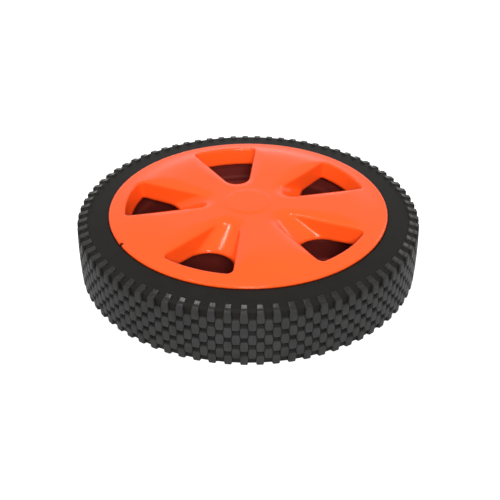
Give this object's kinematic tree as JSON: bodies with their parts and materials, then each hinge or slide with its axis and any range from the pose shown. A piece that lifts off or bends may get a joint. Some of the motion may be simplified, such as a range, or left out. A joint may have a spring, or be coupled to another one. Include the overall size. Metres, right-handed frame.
{
  "type": "rear wheel assembly",
  "caption": "Rear wheel for a garden machine: knobbly tyre on a ribbed moulded body with ball bearings in the hub, closed by a glossy clip-in cap with scooped windows.",
  "frame": {"origin": "on the wheel axis, in the plane of the tyre's back sidewall that the wheel lies on", "axes": "+Z along the wheel axis, out of the cap's face"},
  "size_m": [0.254, 0.254, 0.0535],
  "materials": {
    "tyre": "matte black rubber",
    "wheel_body": "black moulded plastic",
    "hub_cap": "glossy orange plastic",
    "ring_steel": "ground steel",
    "ball_steel": "polished steel",
    "cage": "natural moulded plastic",
    "shield": "pressed steel",
    "spacer_steel": "zinc-plated steel"
  },
  "bodies": {
    "wheel": {"tyre": "tyre", "wheel_body": "wheel_body", "hub_cap": "hub_cap", "front_outer_ring": "ring_steel", "front_shield_upper": "shield", "front_shield_lower": "shield", "rear_outer_ring": "ring_steel", "rear_shield_upper": "shield", "rear_shield_lower": "shield"},
    "axle_sleeve": {"bearing_spacer": "spacer_steel", "front_inner_ring": "ring_steel", "rear_inner_ring": "ring_steel"},
    "front_balls": {"front_cage": "cage", "front_ball_1": "ball_steel", "front_ball_2": "ball_steel", "front_ball_3": "ball_steel", "front_ball_4": "ball_steel", "front_ball_5": "ball_steel", "front_ball_6": "ball_steel", "front_ball_7": "ball_steel"},
    "rear_balls": {"rear_cage": "cage", "rear_ball_1": "ball_steel", "rear_ball_2": "ball_steel", "rear_ball_3": "ball_steel", "rear_ball_4": "ball_steel", "rear_ball_5": "ball_steel", "rear_ball_6": "ball_steel", "rear_ball_7": "ball_steel"}
  },
  "joints": [
    {"name": "axle_spin", "type": "hinge", "parent": "wheel", "child": "axle_sleeve", "pos_m": [0, 0, 0.018], "axis": [0, 0, 1], "continuous": true},
    {"name": "front_cage_spin", "type": "hinge", "parent": "wheel", "child": "front_balls", "pos_m": [0, 0, 0.0305], "axis": [0, 0, 1], "continuous": true},
    {"name": "rear_cage_spin", "type": "hinge", "parent": "wheel", "child": "rear_balls", "pos_m": [0, 0, 0.006], "axis": [0, 0, 1], "continuous": true}
  ],
  "couplings": [
    {"joint": "front_cage_spin", "follows": "axle_spin", "ratio": 0.365},
    {"joint": "rear_cage_spin", "follows": "axle_spin", "ratio": 0.365}
  ]
}
